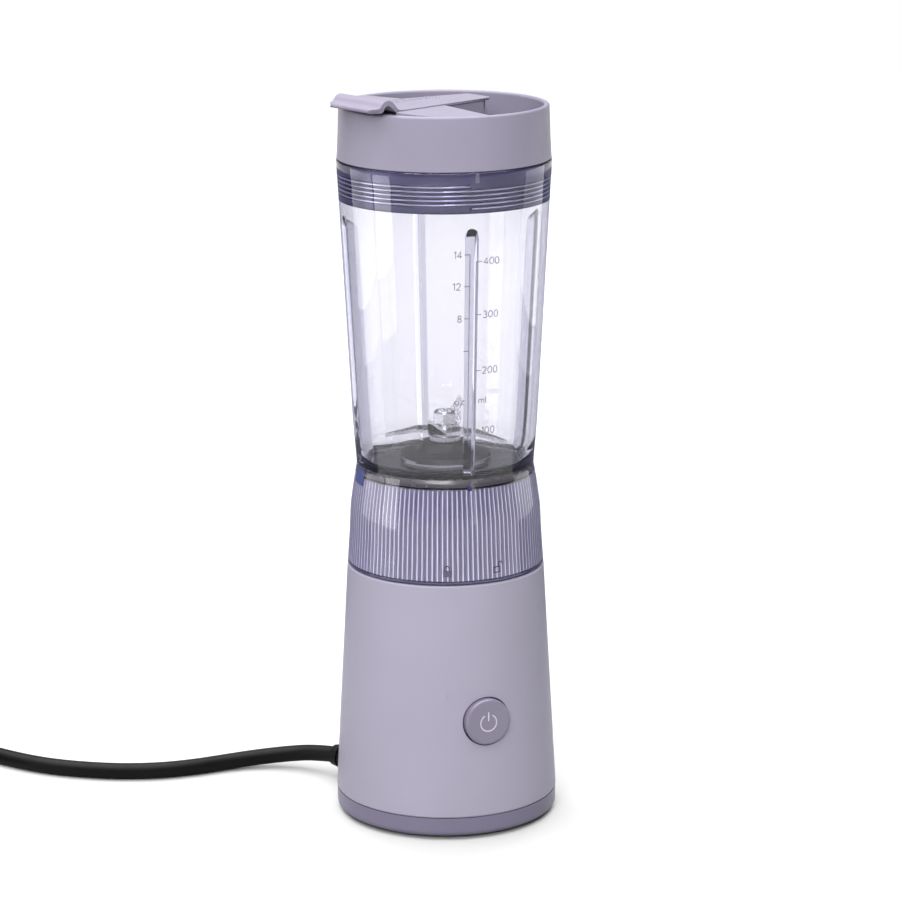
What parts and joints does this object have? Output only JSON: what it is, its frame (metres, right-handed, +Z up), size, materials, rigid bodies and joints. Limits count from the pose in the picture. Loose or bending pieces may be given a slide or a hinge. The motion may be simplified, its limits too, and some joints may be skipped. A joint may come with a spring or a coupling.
{
  "type": "countertop blender",
  "caption": "Small personal blender: tapered motor base with power button and cord, clear twist-lock jar with blades, screw lid with flip cap.",
  "frame": {"origin": "on the counter, on the motor axis, under the middle of the base", "axes": "+Z up along the motor axis; -Y is the front, where the power button is; +X is to the right seen from the front"},
  "size_m": [0.312, 0.226, 0.3026],
  "materials": {
    "housing_plastic": "satin moulded lavender plastic",
    "trim_plastic": "satin darker lavender plastic",
    "button_plastic": "semi-gloss mid-purple plastic",
    "lid_plastic": "satin moulded lavender plastic",
    "clear_plastic": "clear copolyester with a faint violet tint",
    "tinted_plastic": "violet-tinted clear copolyester",
    "foot_rubber": "soft dark rubber",
    "silicone": "translucent silicone",
    "blade_steel": "brushed stainless",
    "plain_steel": "zinc-plated steel",
    "lamination_steel": "stacked electrical steel",
    "copper_wire": "enamelled copper",
    "bearing_brass": "machined brass",
    "carbon": "pressed carbon",
    "black_plastic": "black glass-filled plastic",
    "coupler_plastic": "tough black plastic",
    "board_laminate": "green laminate",
    "lead_insulation": "coloured wire insulation",
    "cord_rubber": "black cord jacket"
  },
  "bodies": {
    "base": {"base_housing": "housing_plastic", "bottom_cover": "trim_plastic", "rubber_feet": "foot_rubber", "cover_screws": "plain_steel", "stator_core": "lamination_steel", "field_coils": "copper_wire", "upper_bracket": "plain_steel", "lower_bracket": "plain_steel", "stator_bolts": "plain_steel", "motor_screws": "plain_steel", "rubber_mounts": "foot_rubber", "upper_bearing": "bearing_brass", "lower_bearing": "bearing_brass", "brush_holders": "black_plastic", "carbon_brushes": "carbon", "brush_springs": "plain_steel", "neck_seal": "foot_rubber", "control_board": "board_laminate", "board_screws": "plain_steel", "push_switch": "black_plastic", "strain_relief": "cord_rubber", "cord_jacket_end": "cord_rubber", "cord_clamp": "black_plastic", "clamp_screws": "plain_steel", "internal_leads": "lead_insulation", "power_cord": "cord_rubber", "cord_coil": "cord_rubber", "cord_tail": "cord_rubber", "plug_body": "cord_rubber", "plug_blades": "bearing_brass"},
    "motor_rotor": {"motor_shaft": "plain_steel", "armature_core": "lamination_steel", "armature_windings": "copper_wire", "commutator": "copper_wire", "cooling_fan": "black_plastic", "drive_coupler": "coupler_plastic"},
    "power_button": {"power_button": "button_plastic", "switch_plunger": "black_plastic"},
    "blade_seat": {"blade_housing": "black_plastic", "blade_bushing": "bearing_brass", "floor_gasket": "silicone", "housing_nut": "black_plastic"},
    "blade_rotor": {"blade_shaft": "plain_steel", "driven_coupler": "coupler_plastic", "thrust_washer": "plain_steel", "lower_blade": "blade_steel", "upper_blade": "blade_steel", "blade_washer": "blade_steel", "blade_nut": "blade_steel"},
    "jar": {"jar_cup": "clear_plastic", "jar_skirt": "tinted_plastic"},
    "lid_seal": {"lid_gasket": "silicone"},
    "lid": {"lid_body": "lid_plastic", "lid_plug": "lid_plastic", "flap_pin": "plain_steel"},
    "flip_cap": {"flip_cap": "lid_plastic", "spout_seal": "silicone"}
  },
  "joints": [
    {"name": "motor_spin", "type": "hinge", "parent": "base", "child": "motor_rotor", "pos_m": [0, 0, 0.074], "axis": [0, 0, 1], "continuous": true},
    {"name": "button_press", "type": "slide", "parent": "base", "child": "power_button", "axis": [0, 1, 0], "range_m": [0, 0.0015], "stiffness_N_per_m": 1500, "springref_m": -0.0004},
    {"name": "jar_lift", "type": "slide", "parent": "base", "child": "blade_seat", "axis": [0, 0, 1], "range_m": [0, 0.08]},
    {"name": "blade_spin", "type": "hinge", "parent": "blade_seat", "child": "blade_rotor", "pos_m": [0, 0, 0.15], "axis": [0, 0, 1], "continuous": true},
    {"name": "jar_twist", "type": "hinge", "parent": "blade_seat", "child": "jar", "pos_m": [0, 0, 0.12], "axis": [0, 0, 1], "range_deg": [-30, 0]},
    {"name": "lid_lift", "type": "slide", "parent": "jar", "child": "lid_seal", "axis": [0, 0, 1], "range_m": [0, 0.06]},
    {"name": "lid_turn", "type": "hinge", "parent": "lid_seal", "child": "lid", "pos_m": [0, 0, 0.275], "axis": [0, 0, 1], "range_deg": [0, 360]},
    {"name": "flip_open", "type": "hinge", "parent": "lid", "child": "flip_cap", "pos_m": [0.01485, 0.00445, 0.2906], "axis": [-0.2874, 0.9578, 0], "range_deg": [0, 135]}
  ],
  "couplings": [
    {"joint": "blade_spin", "follows": "motor_spin", "ratio": 1}
  ]
}
